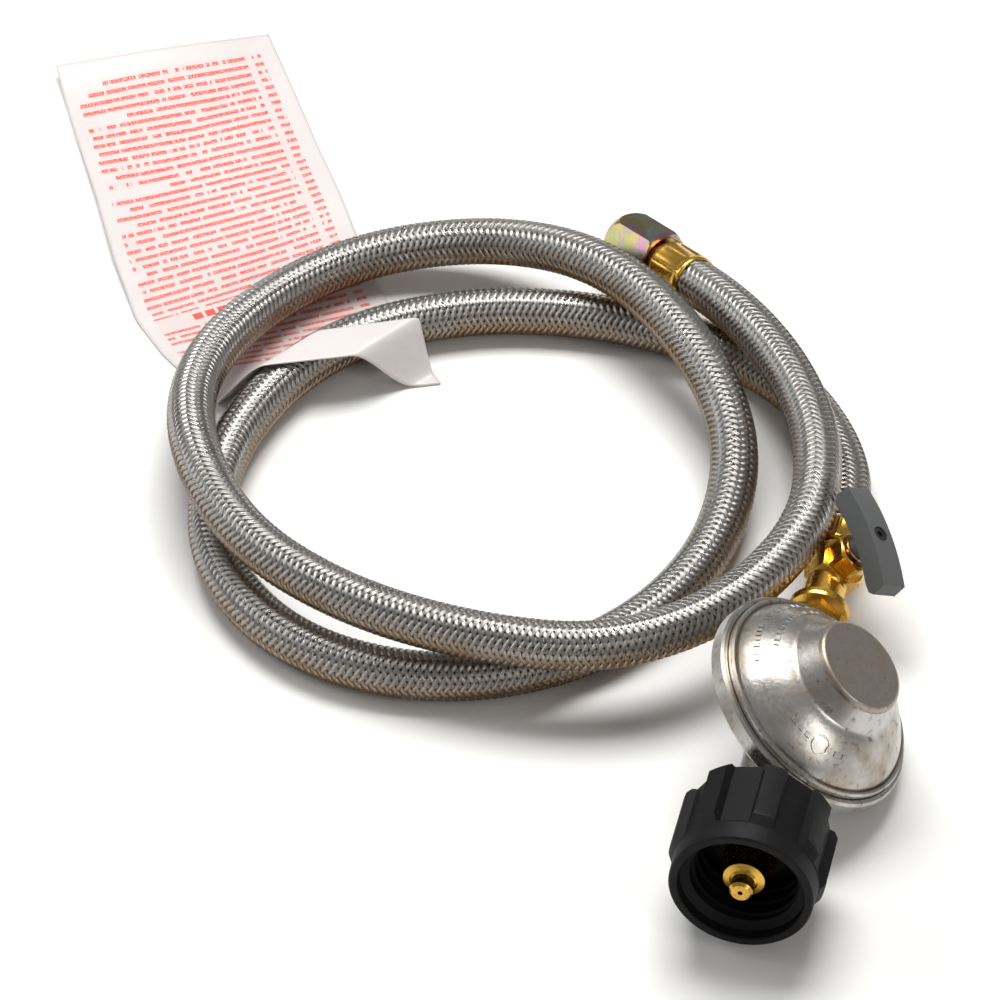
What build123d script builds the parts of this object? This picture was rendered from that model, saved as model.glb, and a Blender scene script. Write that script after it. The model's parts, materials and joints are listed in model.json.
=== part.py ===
"""Propane regulator hose: a cylinder coupling, a single-stage diaphragm regulator, a needle valve and a
braided hose with a flare nut and a tag.

The flow axis runs from the mouth of the coupling nut, through the regulator and the valve, to the hose.
It falls a little towards the hose. The dome of the regulator and the valve's stem both stand square to it,
rolled over to +X. Distances along the flow axis are called "s" and start at the nut's mouth; distances
along the dome axis are called "h" and start on the flow axis. All sizes are in millimetres.
"""

import math
import os

from build123d import *

os.makedirs("parts", exist_ok=True)

# ---------------------------------------------------------------- driving dimensions
FLOW_SLOPE = 4.5  # degrees that the flow axis falls towards the hose
DOME_ROLL = 38.0  # degrees that the dome leans from upright towards +X
MOUTH = Vector(-5.8, -83.4, 26.56)  # centre of the coupling nut's mouth

NUT_LENGTH = 33.0
NUT_LIP_R = 22.2
NUT_RIB_R = 24.2
NUT_RIBS = 8
NUT_RIB_TURN = 17.0  # degrees from the dome side to the first rib
NUT_THREAD_R = 16.7
NUT_THREAD_DEPTH = 18.0

DISC_S = 78.5  # where the dome axis crosses the flow axis
DISC_R = 37.0
BONNET_R = 34.8
TOWER_R = 16.0
TOWER_FOOT_R = 19.3
TOWER_TOP = 32.8
CAP_TOP = 35.0

STEM_S = 149.5  # where the valve's stem crosses the flow axis
STEM_R = 3.0
HANDLE_LENGTH = 36.0
HANDLE_WIDTH = 9.6
HANDLE_LOW = 16.0
HANDLE_HIGH = 25.0
HANDLE_TURN = 38.0  # degrees of the handle from the flow axis

HOSE_D = 16.0
HOSE_S = 168.5  # where the hose leaves its first ferrule
FERRULE_R = 9.0
FERRULE_LENGTH = 19.0
FLARE_HEX = 19.0
FLARE_LENGTH = 22.0
FLARE_THREAD_R = 7.6
FLARE_RELIEF_R = 8.3
FLARE_RELIEF_END = 10.6  # from the back of the nut

TAG_THICK = 0.5

# ---------------------------------------------------------------- axes and planes
slope = math.radians(FLOW_SLOPE)
roll = math.radians(DOME_ROLL)
BACK = Vector(0, math.cos(slope), -math.sin(slope))
DOME = Vector(math.sin(roll), math.cos(roll) * math.sin(slope), math.cos(roll) * math.cos(slope))


def on_flow(s, h=0.0):
    """The point s along the flow axis and h out along the dome direction."""
    return MOUTH + BACK * s + DOME * h


DISC = on_flow(DISC_S)
VALVE = on_flow(STEM_S)
FLOW_AXIS = Axis(MOUTH, BACK)
DOME_AXIS = Axis(DISC, DOME)
STEM_AXIS = Axis(VALVE, DOME)
# half planes for turned profiles: the sketch's x is the radius and its y runs along the axis
FLOW_HALF = Plane(origin=MOUTH, x_dir=DOME, z_dir=DOME.cross(BACK))
DOME_HALF = Plane(origin=DISC, x_dir=BACK, z_dir=BACK.cross(DOME))
STEM_HALF = Plane(origin=VALVE, x_dir=BACK, z_dir=BACK.cross(DOME))


def flow_plane(s):
    """A plane across the flow axis, facing the hose, with its x towards the dome."""
    return Plane(origin=on_flow(s), x_dir=DOME, z_dir=BACK)


def dome_plane(h):
    """A plane across the dome axis, facing out, with its x along the flow."""
    return Plane(origin=DISC + DOME * h, x_dir=BACK, z_dir=DOME)


def stem_plane(h):
    """A plane across the stem's axis, facing out, with its x along the flow."""
    return Plane(origin=VALVE + DOME * h, x_dir=BACK, z_dir=DOME)


def turned(points, half_plane, axis):
    """A profile of (radius, distance) points turned once round its axis."""
    with BuildPart() as made:
        with BuildSketch(half_plane):
            with BuildLine():
                Polyline(*points, close=True)
            make_face()
        revolve(axis=axis)
    return made


def finish(builder, label):
    """Label a finished piece and write it."""
    builder.part.label = label
    export_step(builder.part, f"parts/{label}.step")


# ---------------------------------------------------------------- coupling nut and inlet
RIB_FRONT = 7.5
RIB_FLOOR_R = 20.9

with BuildPart() as coupling_nut:
    with BuildSketch(FLOW_HALF):
        with BuildLine():
            Polyline(
                (19.4, 0.4),
                (19.8, 0),
                (NUT_LIP_R - 0.5, 0),
                (NUT_LIP_R, 0.6),
                (NUT_LIP_R + 0.2, RIB_FRONT - 0.6),
                (NUT_RIB_R - 0.2, RIB_FRONT + 2.4),
                (NUT_RIB_R, RIB_FRONT + 3.2),
                (NUT_RIB_R, NUT_LENGTH - 2),
                (NUT_RIB_R - 1.4, NUT_LENGTH),
                (10.6, NUT_LENGTH),
                (10.6, NUT_THREAD_DEPTH + 5),
                (NUT_THREAD_R, NUT_THREAD_DEPTH + 5),
                (NUT_THREAD_R, 5.5),
                (19.2, 3.6),
                close=True,
            )
        make_face()
    revolve(axis=FLOW_AXIS)
    with BuildSketch(flow_plane(RIB_FRONT)):
        with PolarLocations(RIB_FLOOR_R + 3, NUT_RIBS, start_angle=NUT_RIB_TURN + 180 / NUT_RIBS):
            Trapezoid(width=17, height=6, left_side_angle=56, rotation=90)
    extrude(amount=NUT_LENGTH, mode=Mode.SUBTRACT)
finish(coupling_nut, "coupling_nut")

thermal_bushing = turned(
    [(8.3, 20.2), (12.4, 20.2), (12.4, 22.6), (10.3, 22.7), (10.3, 33.6), (8.3, 33.6)], FLOW_HALF, FLOW_AXIS
)
finish(thermal_bushing, "thermal_bushing")

with BuildPart() as inlet_nipple:
    with BuildSketch(FLOW_HALF):
        with BuildLine():
            Polyline(
                (0.8, -0.4),
                (2.9, -0.4),
                (3.7, 0.5),
                (3.7, 4.2),
                (4.4, 4.8),
                (6.4, 5.6),
                (6.4, 7.8),
                (5.6, 8.4),
                (6.9, 12.5),
                (8.2, 15),
                (8.2, 33.7),
                (9.4, 33.7),
                (9.4, 36),
                (7.35, 36),
                (7.35, 47.5),
                (4.5, 47.5),
                (4.5, 12),
                (1.6, 10),
                (0.8, 4),
                close=True,
            )
        make_face()
    revolve(axis=FLOW_AXIS)
finish(inlet_nipple, "inlet_nipple")

excess_flow_poppet = turned(
    [(0, 13), (3.4, 13), (4.3, 14), (4.3, 17), (2.4, 18.6), (0, 18.6)], FLOW_HALF, FLOW_AXIS
)
finish(excess_flow_poppet, "excess_flow_poppet")

nipple_ring = turned([(2.6, 28), (4.5, 28), (4.5, 30), (2.6, 30)], FLOW_HALF, FLOW_AXIS)
finish(nipple_ring, "nipple_ring")


def coil_spring(plane, length, radius, wire, turns):
    """A plain coil spring that stands on a plane."""
    with BuildPart() as made:
        with BuildLine() as path:
            Helix(pitch=length / turns, height=length, radius=radius)
        with BuildSketch(Plane(origin=path.line @ 0, z_dir=path.line % 0)):
            Circle(wire / 2)
        sweep()
    made.part.locate(plane.location)
    return made


excess_flow_spring = coil_spring(flow_plane(18.6), 9.0, 3.5, 0.5, 5)
finish(excess_flow_spring, "excess_flow_spring")

# ---------------------------------------------------------------- regulator body
BOSS_FRONT = 36.3
BOSS_BACK = 116.5

with BuildPart() as body_casting:
    with BuildSketch(DOME_HALF):
        with BuildLine():
            Polyline(
                (0, -11.5),
                (11, -11.5),
                (15.5, -9.5),
                (33.5, 5.6),
                (36.2, 6.3),
                (DISC_R, 7.2),
                (DISC_R, 11.6),
                (36.3, 12.5),
                (35.1, 12.5),
                (35.1, 10.8),
                (29.5, 10.8),
                (28.5, 6.8),
                (15.5, -3.2),
                (14.5, -7.5),
                (0, -7.5),
                close=True,
            )
        make_face()
    revolve(axis=DOME_AXIS)
    with BuildSketch(flow_plane(BOSS_FRONT)):
        Circle(10.6)
    extrude(amount=DISC_S - 15.8 - BOSS_FRONT)
    with BuildSketch(flow_plane(DISC_S + 15.8)):
        Circle(10.4)
    extrude(amount=BOSS_BACK - DISC_S - 15.8)
    with BuildSketch(dome_plane(-2.6)):
        Circle(14)
    extrude(amount=22, mode=Mode.SUBTRACT)
    with BuildSketch(dome_plane(6.8)):
        Circle(28.5)
    extrude(amount=20, mode=Mode.SUBTRACT)
    with BuildSketch(flow_plane(BOSS_FRONT)):
        Circle(7.4)
    extrude(amount=12.2, mode=Mode.SUBTRACT)
    with BuildSketch(flow_plane(BOSS_FRONT)):
        Circle(5)
    extrude(amount=29, mode=Mode.SUBTRACT)
    with BuildSketch(flow_plane(DISC_S + 10)):
        Circle(4)
    extrude(amount=30, mode=Mode.SUBTRACT)
    with BuildSketch(flow_plane(BOSS_BACK - 12)):
        Circle(6.6)
    extrude(amount=13, mode=Mode.SUBTRACT)
finish(body_casting, "body_casting")

orifice = turned([(1.2, 49), (4.9, 49), (4.9, 61), (2.6, 61), (2, 62.6), (1.2, 62.6)], FLOW_HALF, FLOW_AXIS)
finish(orifice, "orifice")

with BuildPart() as bonnet:
    with BuildSketch(DOME_HALF):
        with BuildLine():
            outer = Polyline(
                (29.5, 12),
                (BONNET_R, 12),
                (BONNET_R, 14.2),
                (34.3, 14.9),
                (33.6, 14.9),
                (33.1, 14),
                (32.6, 15.2),
            )
            dome_curve = Spline(outer @ 1, (28.2, 20.4), (21.6, 25.6), tangents=[(-0.5, 0.9), (-0.9, 0.5)])
            foot = Spline(dome_curve @ 1, (TOWER_FOOT_R, 27.4), tangents=[(-0.9, 0.5), (-0.35, 0.94)])
            Polyline(
                foot @ 1,
                (TOWER_R, TOWER_TOP),
                (13, TOWER_TOP),
                (13, 26),
                (20.5, 22.4),
                (27.5, 16.6),
                (29.5, 14),
                outer @ 0,
            )
        make_face()
    revolve(axis=DOME_AXIS)
finish(bonnet, "bonnet")

with BuildPart() as tower_cap:
    with BuildSketch(DOME_HALF):
        with BuildLine():
            side = Polyline((0, TOWER_TOP), (TOWER_R - 0.1, TOWER_TOP), (TOWER_R - 0.2, CAP_TOP - 1.2))
            edge = RadiusArc(side @ 1, (TOWER_R - 1.6, CAP_TOP), -1.5)
            Polyline(edge @ 1, (0, CAP_TOP), (0, TOWER_TOP))
        make_face()
    revolve(axis=DOME_AXIS)
finish(tower_cap, "tower_cap")

adjusting_screw = turned(
    [(0, 28.4), (12.9, 28.4), (12.9, 31.4), (4, 31.4), (4, 30), (0, 30)], DOME_HALF, DOME_AXIS
)
finish(adjusting_screw, "adjusting_screw")

main_spring = coil_spring(dome_plane(14.2), 13.2, 8.5, 1.4, 4)
finish(main_spring, "main_spring")

diaphragm = turned([(3.3, 10.9), (35, 10.9), (35, 11.9), (3.3, 11.9)], DOME_HALF, DOME_AXIS)
finish(diaphragm, "diaphragm")

diaphragm_plate = turned(
    [(3.05, 12.2), (18, 12.2), (18, 14.2), (17, 14.2), (17, 13.2), (3.05, 13.2)], DOME_HALF, DOME_AXIS
)
finish(diaphragm_plate, "diaphragm_plate")

pusher_post = turned(
    [(0, -2.9), (1.4, -2.9), (3, -1.3), (3, 16), (2.4, 16.6), (0, 16.6)], DOME_HALF, DOME_AXIS
)
finish(pusher_post, "pusher_post")

# ---------------------------------------------------------------- rocker and seat
LEVER_S = 71.0
LEVER_H = -4.0
COUNTERWEIGHT_AT = (-2.55, -1.2)
SIDE = BACK.cross(DOME)


def lever_plane(side):
    """A plane along the flow and the dome, side mm off the flow axis."""
    return Plane(origin=on_flow(LEVER_S, LEVER_H) + SIDE * side, x_dir=BACK, z_dir=SIDE)


with BuildPart() as rocker_lever:
    with BuildSketch(lever_plane(-1.5)):
        Circle(2.2)
        with Locations((5.5, 0)):
            Rectangle(11, 1.6)
        with Locations((-0.9, 3.4)):
            Rectangle(1.8, 6.8)
    extrude(amount=3)
    # the counterweight brings the lever's weight onto its pin
    with BuildSketch(lever_plane(-6)):
        with Locations(COUNTERWEIGHT_AT):
            Rectangle(3, 3)
    extrude(amount=12)
    with BuildSketch(lever_plane(-6)):
        Circle(1.15)
    extrude(amount=12, mode=Mode.SUBTRACT)
finish(rocker_lever, "rocker_lever")

with BuildPart() as lever_pin:
    with BuildSketch(lever_plane(-14)):
        Circle(1.1)
    extrude(amount=28)
finish(lever_pin, "lever_pin")

seat_holder = turned([(0, 64.8), (3.4, 64.8), (3.4, 68.6), (0, 68.6)], FLOW_HALF, FLOW_AXIS)
finish(seat_holder, "seat_holder")

seat_disc = turned([(0, 63.8), (3.2, 63.8), (3.2, 64.8), (0, 64.8)], FLOW_HALF, FLOW_AXIS)
finish(seat_disc, "seat_disc")

# ---------------------------------------------------------------- needle valve
BARREL_FRONT = 128.0
BARREL_BACK = 157.2
BARREL_R = 6.8
BOSS_TOP = 7.2

with BuildPart() as valve_body:
    with BuildSketch(flow_plane(BOSS_BACK + 0.1)):
        RegularPolygon(7.2, 6, major_radius=False, rotation=30)
    extrude(amount=BARREL_FRONT - BOSS_BACK - 0.1)
    with BuildSketch(FLOW_HALF):
        with BuildLine():
            Polyline(
                (0, 105),
                (6.5, 105),
                (6.5, 118),
                (7, BARREL_FRONT - 1),
                (9.7, BARREL_FRONT),
                (10, BARREL_FRONT + 1),
                (10, BARREL_FRONT + 2.6),
                (BARREL_R, BARREL_FRONT + 3.6),
                (BARREL_R, BARREL_BACK - 6),
                (8, BARREL_BACK - 5),
                (8, BARREL_BACK - 0.8),
                (7.4, BARREL_BACK),
                (0, BARREL_BACK),
                close=True,
            )
        make_face()
    revolve(axis=FLOW_AXIS)
    with BuildSketch(stem_plane(-3)):
        RegularPolygon(8, 6, major_radius=False, rotation=12)
    extrude(amount=BOSS_TOP + 3)
    with BuildSketch(STEM_HALF):
        with BuildLine():
            Polyline((8, BOSS_TOP), (10, BOSS_TOP), (10, BOSS_TOP - 1.4), close=True)
        make_face()
    revolve(axis=STEM_AXIS, mode=Mode.SUBTRACT)
    with BuildSketch(stem_plane(BOSS_TOP)):
        Circle(8)
    extrude(amount=6, mode=Mode.SUBTRACT)
    with BuildSketch(flow_plane(BARREL_BACK)):
        Circle(14)
    extrude(amount=6, mode=Mode.SUBTRACT)
    with BuildSketch(flow_plane(100)):
        Circle(3.2)
    extrude(amount=60, mode=Mode.SUBTRACT)
    with BuildSketch(stem_plane(0)):
        Circle(4.6)
    extrude(amount=10, mode=Mode.SUBTRACT)
finish(valve_body, "valve_body")

GLAND_TOP = 13.6
with BuildPart() as valve_gland:
    with BuildSketch(stem_plane(BOSS_TOP + 0.1)):
        RegularPolygon(6.4, 6, major_radius=False, rotation=22)
    extrude(amount=GLAND_TOP - BOSS_TOP - 0.1)
    with BuildSketch(STEM_HALF):
        with BuildLine():
            Polyline(
                (7, BOSS_TOP),
                (12, BOSS_TOP),
                (12, GLAND_TOP + 1),
                (5.2, GLAND_TOP + 1),
                (7, GLAND_TOP - 0.9),
                close=True,
            )
        make_face()
    revolve(axis=STEM_AXIS, mode=Mode.SUBTRACT)
    with BuildSketch(stem_plane(GLAND_TOP)):
        Circle(5)
    extrude(amount=-1.4, mode=Mode.SUBTRACT)
    with BuildSketch(stem_plane(0)):
        Circle(STEM_R + 0.05)
    extrude(amount=GLAND_TOP + 2, mode=Mode.SUBTRACT)
finish(valve_gland, "valve_gland")

stem_packing = turned([(3.05, 3.5), (4.55, 3.5), (4.55, 7.1), (3.05, 7.1)], STEM_HALF, STEM_AXIS)
finish(stem_packing, "stem_packing")

stem_clip = turned([(3.05, 14.4), (4.9, 14.4), (4.9, 15.2), (3.05, 15.2)], STEM_HALF, STEM_AXIS)
finish(stem_clip, "stem_clip")

valve_stem = turned(
    [(0, -2.6), (0.6, -2.6), (2.2, 0.6), (STEM_R, 1.4), (STEM_R, 19.4), (0, 19.4)], STEM_HALF, STEM_AXIS
)
finish(valve_stem, "valve_stem")

handle_angle = math.radians(HANDLE_TURN)
HANDLE_DIR = BACK * math.cos(handle_angle) - SIDE * math.sin(handle_angle)

with BuildPart() as handle:
    with BuildSketch(Plane(origin=VALVE, x_dir=HANDLE_DIR, z_dir=HANDLE_DIR.cross(DOME))):
        half = HANDLE_LENGTH / 2
        with BuildLine():
            crown = ThreePointArc((-half, HANDLE_HIGH - 2.2), (0, HANDLE_HIGH), (half, HANDLE_HIGH - 2.2))
            right_end = Polyline(
                crown @ 1,
                (half + 0.4, HANDLE_LOW + 1.6),
                (half - 1.2, HANDLE_LOW),
                (half - 4.6, HANDLE_LOW),
            )
            arch = ThreePointArc(right_end @ 1, (0, HANDLE_LOW + 1.6), (-half + 4.6, HANDLE_LOW))
            Polyline(arch @ 1, (-half + 1.2, HANDLE_LOW), (-half - 0.4, HANDLE_LOW + 1.6), crown @ 0)
        make_face()
    extrude(amount=HANDLE_WIDTH / 2, both=True)
    with BuildSketch(stem_plane(HANDLE_LOW - 0.5)):
        Circle(4.7)
    extrude(amount=4)
    with BuildSketch(stem_plane(0)):
        Circle(STEM_R)
    extrude(amount=19.4, mode=Mode.SUBTRACT)
    with BuildSketch(stem_plane(0)):
        Circle(1.5)
    extrude(amount=40, mode=Mode.SUBTRACT)
    with BuildSketch(stem_plane(HANDLE_HIGH - 1.9)):
        Circle(2.7)
    extrude(amount=5, mode=Mode.SUBTRACT)
finish(handle, "handle")

with BuildPart() as handle_screw:
    with BuildSketch(stem_plane(19.4)):
        Circle(1.5)
    extrude(amount=HANDLE_HIGH - 1.9 - 19.4)
    with BuildSketch(stem_plane(HANDLE_HIGH - 1.9)):
        Circle(2.6)
    extrude(amount=1.5)
    with BuildSketch(stem_plane(HANDLE_HIGH - 1.1)):
        RegularPolygon(1.3, 6)
    extrude(amount=2, mode=Mode.SUBTRACT)
finish(handle_screw, "handle_screw")

# ---------------------------------------------------------------- hose
hose_barb = turned(
    [(3.2, BARREL_BACK + 0.1), (5.6, BARREL_BACK + 0.1), (5.6, HOSE_S), (3.2, HOSE_S)], FLOW_HALF, FLOW_AXIS
)
finish(hose_barb, "hose_barb")

ferrule_valve_end = turned(
    [
        (5.7, BARREL_BACK + 0.1),
        (8.4, BARREL_BACK + 0.1),
        (FERRULE_R, BARREL_BACK + 1.2),
        (FERRULE_R, HOSE_S - 0.5),
        (FERRULE_R - 0.4, HOSE_S),
        (5.7, HOSE_S),
    ],
    FLOW_HALF,
    FLOW_AXIS,
)
finish(ferrule_valve_end, "ferrule_valve_end")

# The hose's route, chosen by hand as (x, y, z) from the floor point under the nut's mouth.
HOSE_START = on_flow(HOSE_S)
HOSE_FIRST = on_flow(HOSE_S + 20)
HOSE_POINTS = [
    (-9, 213, 9.5),
    (-27, 237, 8),
    (-57, 252, 8),
    (-98, 258, 8),
    (-141, 251, 8),
    (-179, 229, 8),
    (-200, 194, 8),
    (-206, 153, 8),
    (-195, 114, 8),
    (-164, 86, 8),
    (-122, 79, 8),
    (-81, 93, 8),
    (-51, 124, 8),
    (-37, 164, 9),
    (-40, 204, 16),
    (-65, 238, 26),
    (-100, 266, 26.5),
    (-142, 279, 16),
    (-185, 267, 9.5),
    (-213, 234, 9),
    (-222, 190, 17),
    (-211, 147, 26),
    (-185, 112, 26),
    (-146, 92, 26),
    (-102, 85, 26),
    (-60, 89, 26),
    (-27, 113, 27),
    (-7.5, 151, 29.8),
    (-10.5, 189.5, 29.3),
    (-27, 225, 27),
    (-52, 254, 25),
    (-68, 267.5, 20.5),
]
route = [HOSE_START, HOSE_FIRST] + [Vector(x + MOUTH.X, y + MOUTH.Y, z) for x, y, z in HOSE_POINTS]
runs = [b - a for a, b in zip(route, route[1:])]
turns = [a.get_angle(b) for a, b in zip(runs, runs[1:])]
radii = [
    0.45 * min(a.length, b.length) / math.tan(math.radians(turn) / 2)
    for a, b, turn in zip(runs, runs[1:], turns)
]
print("bend radii", [round(radius, 1) for radius in radii])

with BuildPart() as hose:
    with BuildLine() as hose_line:
        FilletPolyline(*route, radius=radii)
    with BuildSketch(Plane(origin=HOSE_START, z_dir=runs[0])):
        Circle(HOSE_D / 2)
    sweep()
hose_length = sum(edge.length for edge in hose_line.edges())
section = math.pi * (HOSE_D / 2) ** 2
print("hose length", round(hose_length, 1), "volume ratio", hose.part.volume / (section * hose_length))
finish(hose, "hose")

# ---------------------------------------------------------------- tag
# The hose passes through the tag, so the sheet lies flat outside the loop and its last strip arches over
# the hose at the middle of one of the hose's runs.
ARCH_R = 9.1
ARCH_WIDTH = 30.0
ARCH_AT = (route[7] + route[8]) / 2
ALONG = (route[8] - route[7]).normalized()
INWARD = ALONG.cross(Vector(0, 0, -1))
TAG_SHEET = [
    (-315, 345),
    (-247, 383),
    (-171, 254),
    (-190, 229.4),
    (-205.4, 203.6),
    (-225, 204),
    (-253, 226),
    (-283, 284),
]
TAG_STRIP = [(-174, 219.7), (-189.4, 193.9), (-180, 192), (-146, 216)]

with BuildPart() as tag:
    for outline in (TAG_SHEET, TAG_STRIP):
        with BuildSketch(Plane.XY):
            with BuildLine():
                Polyline(*[(x + MOUTH.X, y + MOUTH.Y) for x, y in outline], close=True)
            make_face()
    extrude(amount=TAG_THICK)
    arch_start = ARCH_AT - ALONG * (ARCH_WIDTH / 2)
    with BuildSketch(Plane(origin=arch_start, x_dir=INWARD, z_dir=ALONG)):
        outside = ARCH_R + TAG_THICK
        foot = -HOSE_D / 2
        with BuildLine():
            Polyline((outside, 0), (outside, foot), (ARCH_R, foot), (ARCH_R, 0))
            ThreePointArc((ARCH_R, 0), (0, ARCH_R), (-ARCH_R, 0))
            Polyline((-ARCH_R, 0), (-ARCH_R, foot), (-outside, foot), (-outside, 0))
            ThreePointArc((-outside, 0), (0, outside), (outside, 0))
        make_face()
    extrude(amount=ARCH_WIDTH)
finish(tag, "tag")

# ---------------------------------------------------------------- far end
END = route[-1]
OUT = runs[-1].normalized()
END_AXIS = Axis(END, OUT)
END_SIDE = OUT.cross(Vector(0, 0, 1)).normalized()
END_HALF = Plane(origin=END, x_dir=END_SIDE, z_dir=END_SIDE.cross(OUT))

ferrule_far_end = turned(
    [
        (5.7, 0),
        (FERRULE_R - 0.6, 0),
        (FERRULE_R - 0.2, 0.5),
        (FERRULE_R - 0.2, FERRULE_LENGTH - 4),
        (FERRULE_R - 0.8, FERRULE_LENGTH - 2),
        (FERRULE_R - 2.2, FERRULE_LENGTH - 0.4),
        (5.7, FERRULE_LENGTH),
    ],
    END_HALF,
    END_AXIS,
)
finish(ferrule_far_end, "ferrule_far_end")

NUT_START = FERRULE_LENGTH - 1.4
flare_stem = turned(
    [
        (3.2, 0),
        (5.6, 0),
        (5.6, NUT_START + 3.6),
        (6.9, NUT_START + 5.2),
        (6.9, NUT_START + 7),
        (4, NUT_START + 10),
        (3.2, NUT_START + 10),
    ],
    END_HALF,
    END_AXIS,
)
finish(flare_stem, "flare_stem")

with BuildPart() as flare_nut:
    with BuildSketch(Plane(origin=END + OUT * NUT_START, x_dir=END_SIDE, z_dir=OUT)):
        RegularPolygon(FLARE_HEX / 2, 6, major_radius=False, rotation=8)
    extrude(amount=FLARE_LENGTH)
    with BuildSketch(END_HALF):
        with BuildLine():
            front = NUT_START + FLARE_LENGTH
            Polyline(
                (FLARE_HEX / 2 + 0.1, NUT_START - 1),
                (14, NUT_START - 1),
                (14, front + 1),
                (8.6, front + 1),
                (9, front),
                (10.2, front - 2.2),
                (11.2, front - 5.5),
                (11.2, NUT_START + 1.2),
                close=True,
            )
        make_face()
    revolve(axis=END_AXIS, mode=Mode.SUBTRACT)
    with BuildSketch(END_HALF):
        with BuildLine():
            Polyline(
                (0, NUT_START - 2),
                (8.8, NUT_START - 2),
                (8.8, NUT_START + 2.4),
                (5.9, NUT_START + 2.6),
                (5.9, NUT_START + 3.8),
                (FLARE_RELIEF_R, NUT_START + 5.6),
                (FLARE_RELIEF_R, NUT_START + FLARE_RELIEF_END - 0.7),
                (FLARE_THREAD_R, NUT_START + FLARE_RELIEF_END),
                (FLARE_THREAD_R, front - 0.8),
                (FLARE_THREAD_R + 0.8, front),
                (FLARE_THREAD_R + 0.8, front + 2),
                (0, front + 2),
                close=True,
            )
        make_face()
    revolve(axis=END_AXIS, mode=Mode.SUBTRACT)
finish(flare_nut, "flare_nut")
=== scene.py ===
"""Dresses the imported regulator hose: its braid, crimped ferrules, threads, tag, cast marks and finishes."""

import json
import math
import random

import bmesh
import bpy
import numpy as np
from bpy.props import FloatProperty, FloatVectorProperty, IntProperty, PointerProperty
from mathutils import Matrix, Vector
from mathutils.bvhtree import BVHTree


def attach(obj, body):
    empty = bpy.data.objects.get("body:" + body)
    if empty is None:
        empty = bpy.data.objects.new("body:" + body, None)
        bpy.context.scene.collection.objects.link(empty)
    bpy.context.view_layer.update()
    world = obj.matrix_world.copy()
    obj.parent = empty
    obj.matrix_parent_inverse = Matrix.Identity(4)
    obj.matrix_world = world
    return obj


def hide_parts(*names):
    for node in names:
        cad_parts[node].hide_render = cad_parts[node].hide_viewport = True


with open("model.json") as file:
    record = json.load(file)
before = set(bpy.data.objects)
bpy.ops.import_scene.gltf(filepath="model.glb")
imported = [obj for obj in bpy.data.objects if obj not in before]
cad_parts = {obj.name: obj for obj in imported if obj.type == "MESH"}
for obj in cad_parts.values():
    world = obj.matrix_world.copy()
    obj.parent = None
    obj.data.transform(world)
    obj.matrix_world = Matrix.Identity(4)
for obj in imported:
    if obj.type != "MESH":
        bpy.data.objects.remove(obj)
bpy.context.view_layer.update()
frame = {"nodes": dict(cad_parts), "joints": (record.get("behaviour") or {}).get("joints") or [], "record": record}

bl_info = {
    "name": "Gas Regulator Hose",
    "version": (1, 0, 0),
    "blender": (4, 5, 0),
    "location": "View3D > Sidebar > Regulator Hose",
    "description": "Adds the braid, ferrules, threads, tag and finishes to the packed regulator hose",
    "category": "Object",
}

MM = 0.001
JOINTS = {joint["name"]: joint for joint in frame["joints"]}
# The flow axis runs back from the mouth of the coupling nut; the dome axis is square to it.
BACK = -Vector(JOINTS["coupling_spin"]["axis"]).normalized()
DOME = Vector(JOINTS["diaphragm_lift"]["axis"]).normalized()
OUT = Vector(JOINTS["flare_nut_spin"]["axis"]).normalized()
MOUTH = Vector(JOINTS["coupling_spin"]["pos_m"]) - BACK * 16 * MM
FLARE_HINGE = 27.6 * MM  # from the end of the hose to the point that the flare nut's hinge is given at
HOSE_END = Vector(JOINTS["flare_nut_spin"]["pos_m"]) - OUT * FLARE_HINGE

HOSE_LEAVES = 168.5 * MM  # along the flow axis, where the hose comes out of its first ferrule
FIRST_RUN = 20 * MM  # how far the hose goes straight on
FERRULE_STARTS = 157.3 * MM
DISC_CENTRE = MOUTH + BACK * 78.5 * MM

TAG_WIDTH = 0.078
TAG_LENGTH = 0.190

# The hose's route in metres, from the floor point under the mouth of the coupling nut.
ROUTE = (
    (-0.009, 0.213, 0.0095),
    (-0.027, 0.237, 0.008),
    (-0.057, 0.252, 0.008),
    (-0.098, 0.258, 0.008),
    (-0.141, 0.251, 0.008),
    (-0.179, 0.229, 0.008),
    (-0.2, 0.194, 0.008),
    (-0.206, 0.153, 0.008),
    (-0.195, 0.114, 0.008),
    (-0.164, 0.086, 0.008),
    (-0.122, 0.079, 0.008),
    (-0.081, 0.093, 0.008),
    (-0.051, 0.124, 0.008),
    (-0.037, 0.164, 0.009),
    (-0.04, 0.204, 0.016),
    (-0.065, 0.238, 0.026),
    (-0.1, 0.266, 0.0265),
    (-0.142, 0.279, 0.016),
    (-0.185, 0.267, 0.0095),
    (-0.213, 0.234, 0.009),
    (-0.222, 0.19, 0.017),
    (-0.211, 0.147, 0.026),
    (-0.185, 0.112, 0.026),
    (-0.146, 0.092, 0.026),
    (-0.102, 0.085, 0.026),
    (-0.06, 0.089, 0.026),
    (-0.027, 0.113, 0.027),
    (-0.0075, 0.151, 0.0298),
    (-0.0105, 0.1895, 0.0293),
    (-0.027, 0.225, 0.027),
    (-0.052, 0.254, 0.025),
)

# The tag's two long edges in metres, from the floor point under the mouth, from its far end to its hole.
TAG_EDGES = (
    ((-0.315, 0.345), (-0.247, 0.383)),
    ((-0.299, 0.314), (-0.230, 0.354)),
    ((-0.283, 0.284), (-0.214, 0.326)),
    ((-0.268, 0.254), (-0.200, 0.303)),
    ((-0.253, 0.228), (-0.187, 0.280)),
    ((-0.240, 0.214), (-0.172, 0.256)),
    ((-0.228, 0.204), (-0.158, 0.236)),
    ((-0.214, 0.193), (-0.145, 0.221)),
)


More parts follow.
